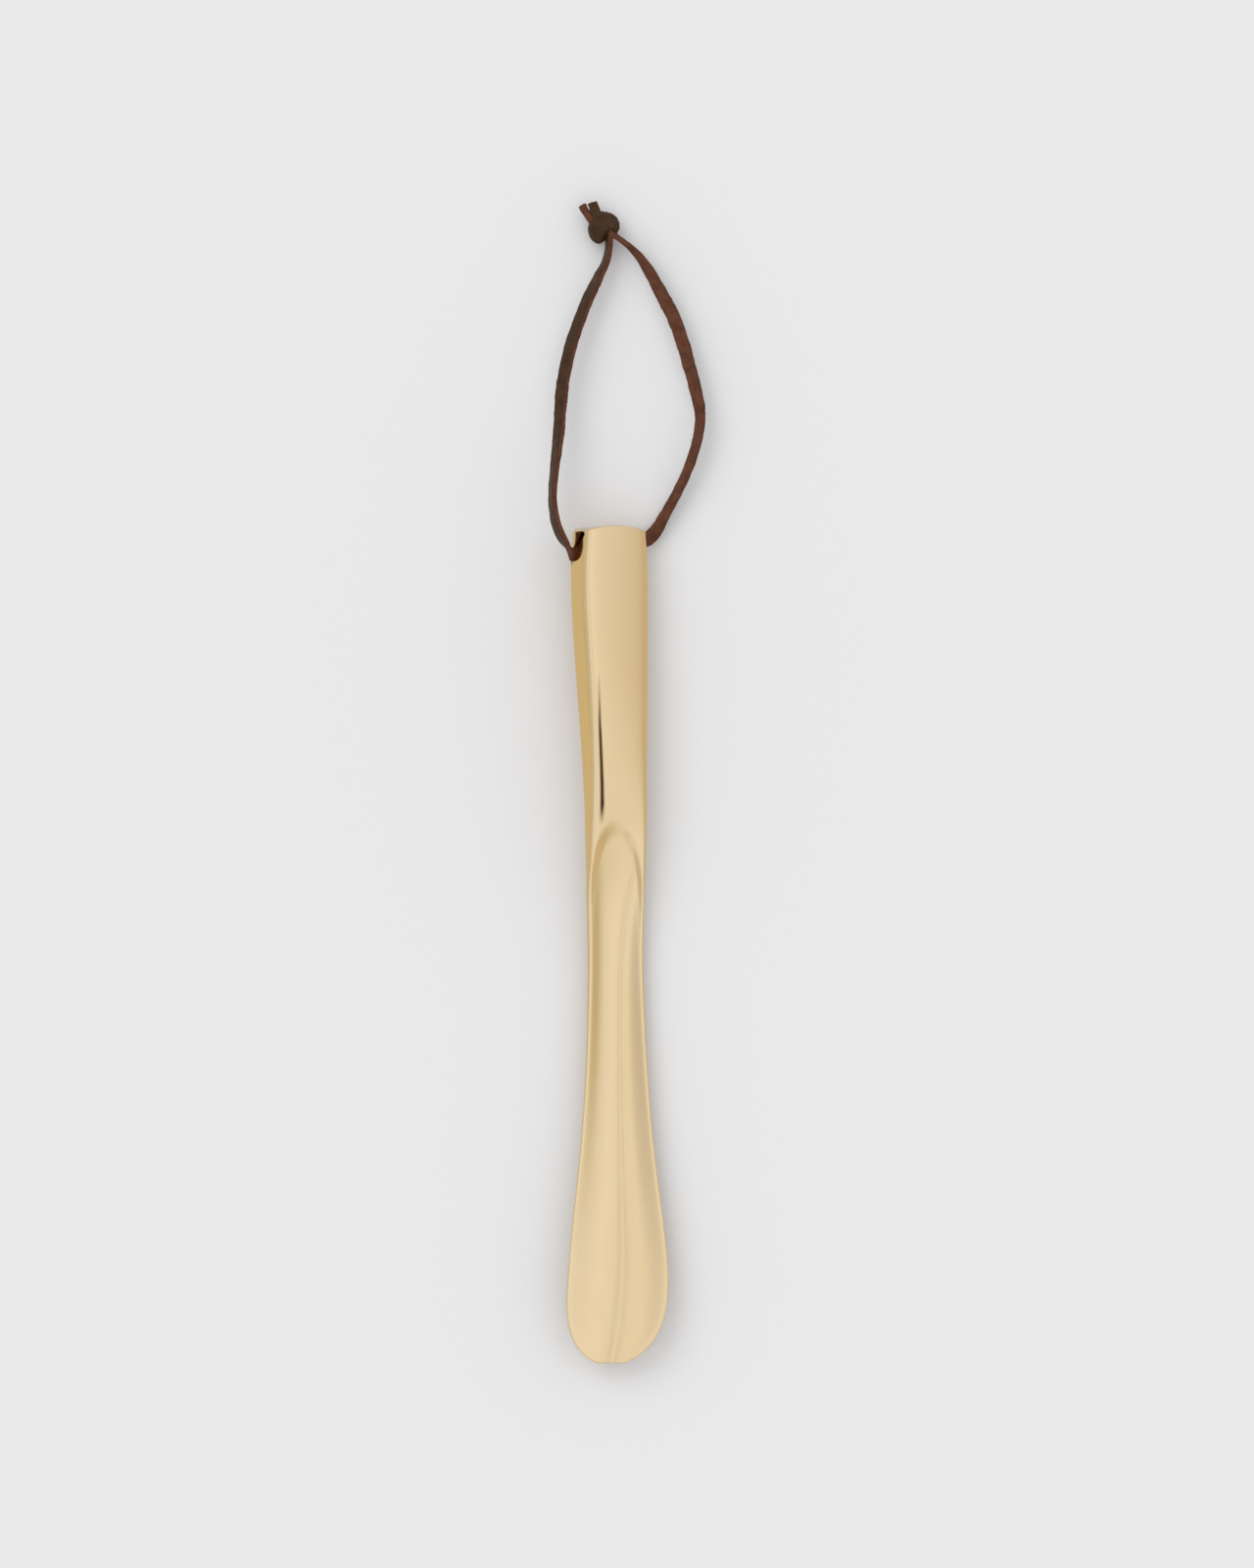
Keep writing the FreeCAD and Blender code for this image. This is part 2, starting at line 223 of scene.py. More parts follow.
# Routes inside and out of the knot: name, the frame's node, width over the strands' width, points with
# the way that the grain faces.
KNOT_STRIPS = (
    (
        "leather_front_tail",
        "thong_tail_front",
        0.55,
        [
            ((-8.4, 292.6, 5.4), (0.30, 0.20, -0.93)),
            ((-10.6, 295.0, 6.9), (0.30, 0.20, -0.93)),
            ((-12.4, 297.6, 7.4), (0.35, 0.25, -0.90)),
            ((-13.8, 299.8, 7.0), (0.50, 0.20, -0.84)),
            ((-14.4, 301.2, 6.6), (0.55, 0.15, -0.82)),
        ],
    ),
    (
        "leather_back_tail",
        "thong_tail_back",
        0.72,
        [
            ((-6.6, 293.4, 5.6), (-0.10, -0.35, 0.93)),
            ((-7.9, 295.9, 7.2), (-0.10, -0.35, 0.93)),
            ((-8.9, 298.3, 7.8), (-0.10, -0.10, 0.98)),
            ((-9.7, 300.6, 7.5), (0.25, 0.10, 0.95)),
            ((-10.3, 302.2, 7.1), (0.30, 0.15, 0.94)),
        ],
    ),
    (
        "leather_fold",
        None,
        0.95,
        [
            ((-5.8, 296.6, 5.4), (0.20, 0.55, 0.80)),
            ((-3.6, 296.2, 6.4), (0.30, 0.45, 0.85)),
            ((-1.9, 294.6, 6.9), (0.50, 0.20, 0.84)),
            ((-1.6, 292.4, 6.7), (0.52, -0.15, 0.84)),
            ((-3.0, 290.6, 5.8), (0.30, -0.50, 0.80)),
            ((-5.4, 290.2, 4.6), (0.10, -0.60, 0.79)),
        ],
    ),
)


class BrassSettings(bpy.types.PropertyGroup):
    """Sizes and colours of the brass"""

    colour: FloatVectorProperty(
        name="Brass",
        description="Colour of the polished brass",
        subtype="COLOR",
        default=(0.80, 0.632, 0.395),
        min=0,
        max=1,
    )
    # Painted reflection: this darker, warmer colour is painted where the brass is seen at an angle, and
    # it also tints the brass's random patches.
    side_reflection_and_patch_colour: FloatVectorProperty(
        name="Brass from the side",
        description="Deeper colour of the brass where it is seen at an angle",
        subtype="COLOR",
        default=(0.735, 0.505, 0.205),
        min=0,
        max=1,
    )
    # Painted dark reflection: this colour is painted along the crease beside the handle's ridge.
    crease_reflection_colour: FloatVectorProperty(
        name="Crease",
        description="Colour of the dark line in the crease beside the handle's ridge",
        subtype="COLOR",
        default=(0.045, 0.022, 0.008),
        min=0,
        max=1,
    )
    roughness: FloatProperty(
        name="Polish",
        description="Roughness of the polished face",
        default=0.13,
        min=0,
        max=1,
        subtype="FACTOR",
    )


class ThongSettings(bpy.types.PropertyGroup):
    """Sizes and colours of the leather thong"""

    wide: FloatProperty(
        name="Width",
        description="Width of the flat thong",
        default=5.6 * MM,
        unit="LENGTH",
    )
    thick: FloatProperty(
        name="Thickness",
        description="Thickness of the flat thong",
        default=2.3 * MM,
        unit="LENGTH",
    )
    grain_colour: FloatVectorProperty(
        name="Grain side",
        description="Colour of the leather's smooth side",
        subtype="COLOR",
        default=(0.038, 0.019, 0.008),
        min=0,
        max=1,
    )
    flesh_colour: FloatVectorProperty(
        name="Flesh side",
        description="Colour of the leather's rough side and its cut edges",
        subtype="COLOR",
        default=(0.150, 0.056, 0.030),
        min=0,
        max=1,
    )


def settings(group):
    """The scene's settings for one group of pieces."""
    return getattr(bpy.context.scene, group)


def start_piece():
    """Leaves everything deselected, in object mode."""
    if bpy.context.mode != "OBJECT":
        bpy.ops.object.mode_set(mode="OBJECT")
    bpy.ops.object.select_all(action="DESELECT")


def make_active(piece):
    """Selects one piece alone."""
    start_piece()
    piece.select_set(True)
    bpy.context.view_layer.objects.active = piece


def apply_modifier(piece, kind, **values):
    """Adds a modifier with those values and applies it."""
    make_active(piece)
    modifier = piece.modifiers.new(kind.title(), kind)
    for name, value in values.items():
        setattr(modifier, name, value)
    bpy.ops.object.modifier_apply(modifier=modifier.name)


# The brass


def level_section(width, deep, dish, belly, foot):
    """The poles of a section before its roll, as (across, up): front, right, back and left side."""
    half = width / 2
    top = deep / 2
    front_soft = min(FRONT_CORNER, CORNER_LIMIT * deep)
    back_soft = min(BACK_CORNER, CORNER_LIMIT * deep)
    front = [(half * part, top - dish * (1 - part**2)) for part in INNER_POLES]
    back = [
        (-half * part, -top - belly * (1 - part**2) - foot * share)
        for part, share in zip(INNER_POLES, FOOT_SHARES)
    ]
    return [
        (-half + front_soft, top),
        *front,
        (half - front_soft, top),
        (half, top - front_soft),
        (half, 0.0),
        (half, back_soft - top),
        (half - back_soft, -top),
        *back,
        (-half + back_soft, -top),
        (-half, back_soft - top),
        (-half, 0.0),
        (-half, top - front_soft),
    ]


def spline_reach(values):
    """Lowest and highest value of the closed cubic spline with those poles."""
    count = len(values)
    found = []
    for index in range(count):
        a, b, c, d = (values[(index + step) % count] for step in range(4))
        for part in (0.0, 0.25, 0.5, 0.75):
            rest = 1 - part
            found.append(
                (
                    a * rest**3
                    + b * (3 * part**3 - 6 * part**2 + 4)
                    + c * (3 * rest**3 - 6 * rest**2 + 4)
                    + d * part**3
                )
                / 6
            )
    return min(found), max(found)


def rolled_section(sizes):
    """A section's poles between its edges and on its lift, in metres, and where its middle lies."""
    place, left, right, deep, roll, dish, belly, foot, lift = sizes
    turn = math.radians(roll)
    width = (right - left - deep * math.sin(turn)) / math.cos(turn)
    rolled = [
        (
            across * math.cos(turn) + up * math.sin(turn),
            up * math.cos(turn) - across * math.sin(turn),
        )
        for across, up in level_section(width, deep, dish, belly, foot)
    ]
    low_x, high_x = spline_reach([x for x, _ in rolled])
    low_z, _ = spline_reach([z for _, z in rolled])
    stretch = (right - left) / (high_x - low_x)
    middle = Vector((left - low_x * stretch, place, lift - low_z)) * MM
    return [middle + Vector((x * stretch, 0, z)) * MM for x, z in rolled], middle


def between(first, second, share):
    """Sizes part of the way from one section's to another's."""
    return tuple(a + (b - a) * share for a, b in zip(first, second))


def handle_matrix():
    """The handle's own axes in the middle of the slot: X across, Y along, Z out of its front."""
    _, middle = rolled_section(SECTIONS["collar"])
    middle.y = SLOT_PLACE * MM
    roll = math.radians(SECTIONS["collar"][4])
    return Matrix.Translation(middle) @ Matrix.Rotation(roll, 4, "Y")


def on_dome(point, inset):
    """The point moved in towards the handle's axis by a share, and onto its domed end."""
    handle = handle_matrix()
    local = handle.inverted() @ point
    local.x *= 1 - inset
    local.z *= 1 - inset
    drop = DOME_RADIUS - math.sqrt(DOME_RADIUS**2 - (local.x / MM) ** 2)
    local.y = (DOME_TOP - drop - SLOT_PLACE) * MM
    return handle @ local


def finer_rings(rings):
    """Twice as many rings, on the smooth skin over the given ones, without the first of them."""
    finer = [rings[1]]
    rings = [*rings, rings[-1]]
    for a, b, c, d in zip(rings, rings[1:], rings[2:], rings[3:]):
        finer.append([(e + 23 * f + 23 * g + h) / 48 for e, f, g, h in zip(a, b, c, d)])
        finer.append([(f + 4 * g + h) / 6 for f, g, h in zip(b, c, d)])
    return finer


def brass_rings():
    """The rings of poles that the brass is drawn through, from its domed end's middle to its tip."""
    end_poles, _ = rolled_section(between(SECTIONS["collar"], SECTIONS["crown"], DOME_SECTION))
    rings = [[on_dome(pole, inset) for pole in end_poles] for inset in DOME_INSETS]
    edge = [on_dome(pole, 0.0) for pole in end_poles]
    rings.append(edge)
    for step in DOME_EDGE_STEPS:
        rings.append([pole - Vector((0, step * MM, 0)) for pole in edge])
    rings.extend(finer_rings([rolled_section(sizes)[0] for sizes in SECTIONS.values()]))
    return rings


def close_ring(mesh, ring):
    """Closes an end ring of 20 poles with faces from its front edge to its back edge."""
    for step in range(6):
        mesh.faces.new((ring[step], ring[step + 1], ring[15 - step], ring[16 - step]))
    mesh.faces.new(ring[6:11])
    mesh.faces.new((ring[16], ring[17], ring[18], ring[19], ring[0]))


def nearest(vertices, place):
    """The vertex nearest to a place."""
    return min(vertices, key=lambda vertex: (vertex.co - place).length)


def brass_cage():
    """A coarse cage of the brass: a ring of poles drawn out along the sections."""
    rings = brass_rings()
    start_piece()
    bpy.ops.mesh.primitive_circle_add(vertices=len(rings[0]), radius=10 * MM)
    cage = bpy.context.object
    cage.name = "shoehorn_brass"
    bpy.ops.object.mode_set(mode="EDIT")
    for number, ring in enumerate(rings):
        if number:
            bpy.ops.mesh.extrude_edges_indiv()
        mesh = bmesh.from_edit_mesh(cage.data)
        drawn = [vertex for vertex in mesh.verts if vertex.select]
        if number:
            drawn = [nearest(drawn, pole) for pole in rings[number - 1]]
        for vertex, pole in zip(drawn, ring):
            vertex.co = pole
        bmesh.update_edit_mesh(cage.data)
    mesh = bmesh.from_edit_mesh(cage.data)
    for ring in (rings[0], rings[-1]):
        close_ring(mesh, [nearest(mesh.verts, pole) for pole in ring])
    bmesh.update_edit_mesh(cage.data)
    bpy.ops.mesh.select_all(action="SELECT")
    bpy.ops.mesh.normals_make_consistent(inside=False)
    bpy.ops.object.mode_set(mode="OBJECT")
    return cage


def eased(share):
    """A share from 0 to 1 that starts and ends gently."""
    part = min(max(share, 0), 1)
    return part * part * (3 - 2 * part)


def carve_scoop(piece):
    """Sinks the top of the blade into the handle's front, inside an arch with a clear edge."""
    facing = [vertex.normal.z for vertex in piece.data.vertices]
    for vertex, front in zip(piece.data.vertices, facing):
        if front < LOOKS_UP:
            continue
        across = (vertex.co.x / MM - ARCH_MIDDLE) / ARCH_HALF_WIDE
        up = max(vertex.co.y / MM - ARCH_FOOT, 0) / ARCH_LONG
        inside = (1 - math.hypot(across, up)) * ARCH_HALF_WIDE / ARCH_WALL
        fade = (vertex.co.y / MM - ARCH_FADE_FROM) / ARCH_FADE_LONG
        vertex.co.z -= ARCH_DEEP * eased(inside) * eased(fade) * MM


def press_crease(piece):
    """Presses the fine crease beside the handle's ridge, which runs down into the scoop's arch, and
    stores the strength of the painted dark reflection along it.
    """
    # Painted dark reflection: the crease attribute holds how strongly the brass is painted dark along
    # the crease.
    dark = piece.data.attributes.new("crease", "FLOAT", "POINT")
    facing = [vertex.normal.z for vertex in piece.data.vertices]
    top, bottom = CREASE_LINE[0], CREASE_LINE[-1]
    for vertex, front in zip(piece.data.vertices, facing):
        across, along = vertex.co.x / MM, vertex.co.y / MM
        if front < LOOKS_UP or not bottom[1] < along < top[1]:
            continue
        for (x0, y0), (x1, y1) in zip(CREASE_LINE, CREASE_LINE[1:]):
            if y1 <= along <= y0:
                middle = x0 + (x1 - x0) * (along - y0) / (y1 - y0)
        share = (top[1] - along) / (top[1] - bottom[1])
        strength = min(share * CREASE_START, 1, (1 - share) * CREASE_END)
        wide = CREASE_WIDE * (CREASE_NARROWEST + (1 - CREASE_NARROWEST) * share)
        away = abs(across - middle) / (wide / 2)
        pressed = strength * math.exp(-away * away)
        dark.data[vertex.index].value = min(pressed * CREASE_PAINTED_REFLECTION, 1)
        vertex.co.z -= CREASE_DEEP * pressed * MM


def slot_cutter():
    """A flat bar with round ends, through the handle where its slot is."""
    straight = (SLOT_LONG - SLOT_WIDE) / 2 * MM
    start_piece()
    bpy.ops.mesh.primitive_cylinder_add(
        vertices=48,
        radius=SLOT_WIDE / 2 * MM,
        depth=CUTTER_LONG * MM,
        rotation=(0, math.pi / 2, 0),
    )
    cutter = bpy.context.object
    bpy.ops.object.transform_apply(location=True, rotation=True, scale=True)
    for vertex in cutter.data.vertices:
        vertex.co.y += math.copysign(straight, vertex.co.y)
    slant = Matrix.Rotation(SLOT_SLANT, 4, "X")
    drop = Matrix.Translation((0, 0, -SLOT_DROP * MM))
    cutter.data.transform(handle_matrix() @ drop @ slant)
    return cutter


def cut_slot(piece):
    """Cuts the thong's slot through the piece."""
    cutter = slot_cutter()
    apply_modifier(piece, "BOOLEAN", operation="DIFFERENCE", object=cutter, solver="EXACT")
    bpy.data.objects.remove(cutter)


class SHOEHORN_OT_brass(bpy.types.Operator):
    """Build the brass shoehorn: twisted handle, open blade and slot"""

    bl_idname = "shoehorn.brass"
    bl_label = "Brass"

    def execute(self, context):
        brass = brass_cage()
        apply_modifier(brass, "SUBSURF", levels=3, render_levels=3)
        carve_scoop(brass)
        press_crease(brass)
        cut_slot(brass)
        make_active(brass)
        bpy.ops.object.shade_smooth_by_angle(angle=math.radians(30))
        brass.data.materials.append(polished_brass())
        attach(brass, SHOEHORN)
        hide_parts("shoehorn_body")
        return {"FINISHED"}


# The thong

# How uneven a strip is: the wobble of its width and thickness, and the finer fraying of its edges, each
# with how many times a metre it changes along, across or up the strip.
WOBBLE = 0.12
WOBBLE_WIDTH = 0.7
WOBBLE_ALONG = 260
WOBBLE_ACROSS = 900
FRAY = 0.10
FRAY_ALONG = 1100
FRAY_UP = 2500
FRAY_SEED = 7
# A strip's materials, by their place on its mesh, and the share of its half width where its edge starts.
GRAIN_SIDE, FLESH_SIDE, EDGE_SIDE = range(3)
EDGE_FROM = 0.93


def nurbs_points(name, controls, steps):
    """Points along the smooth NURBS line with those control points."""
    curve = bpy.data.curves.new(name, "CURVE")
    curve.dimensions = "3D"
    curve.resolution_u = steps
    spline = curve.splines.new("NURBS")
    spline.points.add(len(controls) - 1)
    for point, control in zip(spline.points, controls):
        point.co = (*control, 1)
    spline.order_u = 3
    spline.use_endpoint_u = True
    line = bpy.data.objects.new(name, curve)
    mesh = bpy.data.meshes.new_from_object(line)
    points = [vertex.co.copy() for vertex in mesh.vertices]
    bpy.data.objects.remove(line)
    bpy.data.curves.remove(curve)
    bpy.data.meshes.remove(mesh)
    return points


def strip_profile(wide, thick, power, count=28):
    """A flat strip's outline, as (across, up) points: a rounded rectangle, or an oval at power 1."""
    outline = []
    for step in range(count):
        angle = 2 * math.pi * (step + 0.5) / count
        across = math.copysign(abs(math.cos(angle)) ** power, math.cos(angle))
        up = math.copysign(abs(math.sin(angle)) ** power, math.sin(angle))
        outline.append((across * wide / 2, up * thick / 2))
    return outline


def frayed(outline_point, along, seed, width):
    """How far across and up one point of a strip's outline lies, its cut edges uneven and frayed."""
    across, rise = outline_point
    wobble = noise.noise(Vector((along * WOBBLE_ALONG, across * WOBBLE_ACROSS, seed))) * WOBBLE
    fray = noise.noise(Vector((along * FRAY_ALONG, rise * FRAY_UP, seed + FRAY_SEED))) * FRAY
    return across * (width + wobble * WOBBLE_WIDTH + fray), rise * (1 + wobble)


def tube_faces(around, rings):
    """The faces of a tube of that many points around and that many rings, its two ends last."""
    faces = []
    for ring in range(rings - 1):
        for step in range(around):
            following = (step + 1) % around
            faces.append(
                (
                    ring * around + step,
                    ring * around + following,
                    (ring + 1) * around + following,
                    (ring + 1) * around + step,
                )
            )
    faces.append(tuple(reversed(range(around))))
    faces.append(tuple(range((rings - 1) * around, rings * around)))
    return faces


def leather_strip(name, route, seed, width=1.0, steps=14, softness=0.4, bowed=0.0):
    """A flat leather strip, its grain side facing as its route says, and its middle line."""
    thong = settings("shoehorn_thong")
    centre = nurbs_points(f"{name}_line", [Vector(point) * MM for point, _ in route], steps)
    facing = nurbs_points(f"{name}_facing", [Vector(face) for _, face in route], steps)
    outline = strip_profile(thong.wide, thong.thick, softness)
    around = len(outline)
    vertices = []
    reached = 0.0
    for number, point in enumerate(centre):
        before = centre[max(number - 1, 0)]
        after = centre[min(number + 1, len(centre) - 1)]
        along = (after - before).normalized()
        side = along.cross(facing[number]).normalized()
        up = side.cross(along)
        if number:
            reached += (point - before).length
        for across, rise in outline:
            reach, height = frayed((across, rise), reached, seed, width)
            bow = bowed * thong.wide * (2 * across / thong.wide) ** 2
            vertices.append(point + side * reach + up * (height - bow))
    mesh = bpy.data.meshes.new(name)
    mesh.from_pydata(vertices, [], tube_faces(around, len(centre)))
    for material in (leather_grain(), leather_flesh(), leather_edge()):
        mesh.materials.append(material)
    for polygon in mesh.polygons[:-2]:
        step = polygon.index % around
        across = (outline[step][0] + outline[(step + 1) % around][0]) / thong.wide
        up = outline[step][1] + outline[(step + 1) % around][1]
        if abs(across) > EDGE_FROM:
            polygon.material_index = EDGE_SIDE
        else:
            polygon.material_index = GRAIN_SIDE if up > 0 else FLESH_SIDE
        polygon.use_smooth = True
    for polygon in mesh.polygons[-2:]:
        polygon.material_index = EDGE_SIDE
    strip = bpy.data.objects.new(name, mesh)
    bpy.context.collection.objects.link(strip)
    make_active(strip)
    bpy.ops.object.mode_set(mode="EDIT")
    bpy.ops.mesh.select_all(action="SELECT")
    bpy.ops.mesh.normals_make_consistent(inside=False)
    bpy.ops.object.mode_set(mode="OBJECT")
    return strip, centre


def wrap_route():
    """The route of the strip that winds around the knot's axis, its grain side outwards."""
    axis = Vector(KNOT_AXIS).normalized()
    side = axis.cross(Vector((0, 0, 1)))
    route = []
    steps = round(WRAP_TURNS * WRAP_POINTS)
    for step in range(steps + 1):
        share = step / steps
        angle = WRAP_START + share * WRAP_TURNS * 2 * math.pi
        wide = WRAP_SIDE[0] + (WRAP_SIDE[1] - WRAP_SIDE[0]) * share
        tall = WRAP_UP[0] + (WRAP_UP[1] - WRAP_UP[0]) * share
        shift = WRAP_SHIFT[0] + (WRAP_SHIFT[1] - WRAP_SHIFT[0]) * share
        place = side * math.cos(angle) * wide + Vector((0, 0, 1)) * math.sin(angle) * tall
        outwards = side * math.cos(angle) / wide + Vector((0, 0, 1)) * math.sin(angle) / tall
        lean = WRAP_LEAN * math.sin(angle + WRAP_LEAN_TURN)
        route.append((Vector(KNOT_MIDDLE) + place + axis * (shift + lean), outwards.normalized()))
    return route


class SHOEHORN_OT_knot(bpy.types.Operator):
    """Build the knot: a wrap around the crossing strands, its fold and the two cut ends"""

    bl_idname = "shoehorn.knot"
    bl_label = "Knot"

    def execute(self, context):
        wrap, _ = leather_strip(
            "leather_wrap", wrap_route(), seed=3, width=1.25, steps=6, softness=0.75, bowed=0.17
        )
        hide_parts("thong_knot")
        strips = [wrap]
        for name, node, width, route in KNOT_STRIPS:
            strip, _ = leather_strip(name, route, seed=len(name), width=width, softness=0.6)
            if node:
                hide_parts(node)
            strips.append(strip)
        for strip in strips:
            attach(strip, LOOP)
        return {"FINISHED"}


class SHOEHORN_OT_strands(bpy.types.Operator):
    """Build the thong's two free strands, from the middle of the slot to the knot"""

    bl_idname = "shoehorn.strands"
    bl_label = "Strands"

    def execute(self, context):
        thong = settings("shoehorn_thong")
        for side, route, nodes, knot_pieces in STRANDS:
            strand, centre = leather_strip(f"leather_{side}_strand", route, seed=len(side))
            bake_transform(strand)
            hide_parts(*nodes)
        return {"FINISHED"}


# Materials


def new_material(name):
    """A node material, its node tree and its Principled shader."""
    material = bpy.data.materials.new(name)
    material.use_nodes = True
    tree = material.node_tree
    return material, tree, tree.nodes["Principled BSDF"]


def add_node(tree, kind, **values):
    """A new node with those settings; a value named after an input socket is set on it."""
    node = tree.nodes.new(kind)
    for name, value in values.items():
        if name in node.inputs:
            node.inputs[name].default_value = value
        else:
            setattr(node, name, value)
    return node


def mix_colours(tree, mask, first, second):
    """A colour that goes from the first to the second as the mask goes from 0 to 1."""
    mix = add_node(tree, "ShaderNodeMix", data_type="RGBA")
    tree.links.new(mask, mix.inputs[0])
    mix.inputs[6].default_value = (*first, 1)
    mix.inputs[7].default_value = (*second, 1)
    return mix.outputs[2]


def to_range(tree, value, low, high, new_low, new_high):
    """A value's range mapped to another range."""
    node = add_node(tree, "ShaderNodeMapRange")
    tree.links.new(value, node.inputs["Value"])
    for name, number in (
        ("From Min", low),
        ("From Max", high),
        ("To Min", new_low),
        ("To Max", new_high),
    ):
        node.inputs[name].default_value = number
    return node.outputs["Result"]


def object_coordinates(tree, scale=(1, 1, 1)):
    """Object coordinates, scaled."""
    place = add_node(tree, "ShaderNodeTexCoord")
    mapping = add_node(tree, "ShaderNodeMapping", Scale=scale)
    tree.links.new(place.outputs["Object"], mapping.inputs["Vector"])
    return mapping.outputs["Vector"]


def noise_mask(tree, scale, detail=4.0, roughness=0.5, stretch=(1, 1, 1)):
    """A noise mask over the surface."""
    node = add_node(
        tree, "ShaderNodeTexNoise", Scale=scale, Detail=detail, Roughness=roughness
    )
    tree.links.new(object_coordinates(tree, stretch), node.inputs["Vector"])
    return node.outputs["Fac"]


def bump(tree, shader, height, strength, distance):
    """Feeds a height into the shader's normal."""
    node = add_node(tree, "ShaderNodeBump", Strength=strength, Distance=distance)
    tree.links.new(height, node.inputs["Height"])
    tree.links.new(node.outputs["Normal"], shader.inputs["Normal"])


def polished_brass():
    """Solid brass, polished by hand along its length, with a painted darker, warmer reflection where it
    is seen at an angle and a painted dark reflection along its crease.
    """
    brass = settings("shoehorn_brass")
    material, tree, shader = new_material("polished_brass")
    # Painted reflection: faces seen at an angle take on the darker, warmer colour, and random patches of
    # that colour are added on top.
    angle = add_node(tree, "ShaderNodeLayerWeight", Blend=0.5)
    side_reflection = to_range(tree, angle.outputs["Facing"], 0.10, 0.36, 0.0, 1.0)
    uneven = noise_mask(tree, scale=32, detail=3.0, roughness=0.6, stretch=(1.0, 0.45, 1.0))
    patches = to_range(tree, uneven, 0.3, 0.7, 0.0, 0.22)
    reflection_and_patches = add_node(tree, "ShaderNodeMath", operation="ADD", use_clamp=True)
    tree.links.new(side_reflection, reflection_and_patches.inputs[0])
    tree.links.new(patches, reflection_and_patches.inputs[1])
    without_crease_reflection = mix_colours(tree, reflection_and_patches.outputs[0], brass.colour, brass.side_reflection_and_patch_colour)
    # Painted dark reflection: the crease attribute darkens the colour along the crease beside the ridge.
    crease = add_node(tree, "ShaderNodeAttribute", attribute_name="crease")
    colour = add_node(tree, "ShaderNodeMix", data_type="RGBA")
    tree.links.new(crease.outputs["Fac"], colour.inputs[0])
    tree.links.new(without_crease_reflection, colour.inputs[6])
    colour.inputs[7].default_value = (*brass.crease_reflection_colour, 1)
    tree.links.new(colour.outputs[2], shader.inputs["Base Color"])
    wiped = noise_mask(tree, scale=70, detail=5.0, roughness=0.6, stretch=(2.0, 0.12, 2.0))
    polish = to_range(tree, wiped, 0.3, 0.75, brass.roughness - 0.03, brass.roughness + 0.06)
    tree.links.new(polish, shader.inputs["Roughness"])
    marks = noise_mask(tree, scale=900, detail=3.0, roughness=0.7, stretch=(1.0, 0.02, 1.0))
    bump(tree, shader, marks, strength=0.06, distance=0.05 * MM)
    shader.inputs["Metallic"].default_value = 1.0
    return material


def leather_group():
    """The effect that every leather side shares: patchy dye, roughness and the height of its pores."""
    known = bpy.data.node_groups.get("leather_surface")
    if known:
        return known
    group = bpy.data.node_groups.new("leather_surface", "ShaderNodeTree")
    for name, kind in (
        ("Dye", "NodeSocketColor"),
        ("Worn", "NodeSocketColor"),
        ("Pores", "NodeSocketFloat"),
        ("Rough", "NodeSocketFloat"),
    ):
        group.interface.new_socket(name=name, in_out="INPUT", socket_type=kind)
    for name, kind in (
        ("Color", "NodeSocketColor"),
        ("Roughness", "NodeSocketFloat"),
        ("Height", "NodeSocketFloat"),
    ):
        group.interface.new_socket(name=name, in_out="OUTPUT", socket_type=kind)
    inside = add_node(group, "NodeGroupInput")
    outside = add_node(group, "NodeGroupOutput")
    cloudy = noise_mask(group, scale=260, detail=6.0, roughness=0.65)
    patches = to_range(group, cloudy, 0.35, 0.7, 0, 1)
    dyed = add_node(group, "ShaderNodeMix", data_type="RGBA")
    group.links.new(patches, dyed.inputs[0])
    group.links.new(inside.outputs["Dye"], dyed.inputs[6])
    group.links.new(inside.outputs["Worn"], dyed.inputs[7])
    group.links.new(dyed.outputs[2], outside.inputs["Color"])
    pores = add_node(group, "ShaderNodeTexNoise", Detail=8.0, Roughness=0.7)
    group.links.new(object_coordinates(group), pores.inputs["Vector"])
    group.links.new(inside.outputs["Pores"], pores.inputs["Scale"])
    uneven = add_node(group, "ShaderNodeMath", operation="MULTIPLY_ADD")
    group.links.new(pores.outputs["Fac"], uneven.inputs[0])
    uneven.inputs[1].default_value = 0.4
    group.links.new(inside.outputs["Rough"], uneven.inputs[2])
    group.links.new(uneven.outputs[0], outside.inputs["Roughness"])
    group.links.new(pores.outputs["Fac"], outside.inputs["Height"])
    return group


def leather_material(name, colour, worn, pore_scale, depth, rough):
    """Leather with pores or fibres of a given fineness, depth and roughness, and a patchy dye."""
    known = bpy.data.materials.get(name)
    if known:
        return known
    material, tree, shader = new_material(name)
    surface = add_node(tree, "ShaderNodeGroup")
    surface.node_tree = leather_group()
    surface.inputs["Dye"].default_value = (*colour, 1)
    surface.inputs["Worn"].default_value = (*worn, 1)
    surface.inputs["Pores"].default_value = pore_scale
    surface.inputs["Rough"].default_value = rough - 0.2
    tree.links.new(surface.outputs["Color"], shader.inputs["Base Color"])
    tree.links.new(surface.outputs["Roughness"], shader.inputs["Roughness"])
    bump(tree, shader, surface.outputs["Height"], strength=0.6, distance=depth)
    shader.inputs["Specular IOR Level"].default_value = 0.15
    return material


def leather_grain():
    """The thong's smooth, dark side."""
    thong = settings("shoehorn_thong")
    lighter = tuple(part * 1.9 for part in thong.grain_colour)
    return leather_material(
        "leather_grain", thong.grain_colour, lighter, pore_scale=1500, depth=0.12 * MM, rough=0.5
    )


def leather_flesh():
    """The thong's rough, reddish side."""
    thong = settings("shoehorn_thong")
    darker = tuple(part * 0.5 for part in thong.flesh_colour)
    return leather_material(
        "leather_flesh", thong.flesh_colour, darker, pore_scale=2600, depth=0.2 * MM, rough=0.85
    )


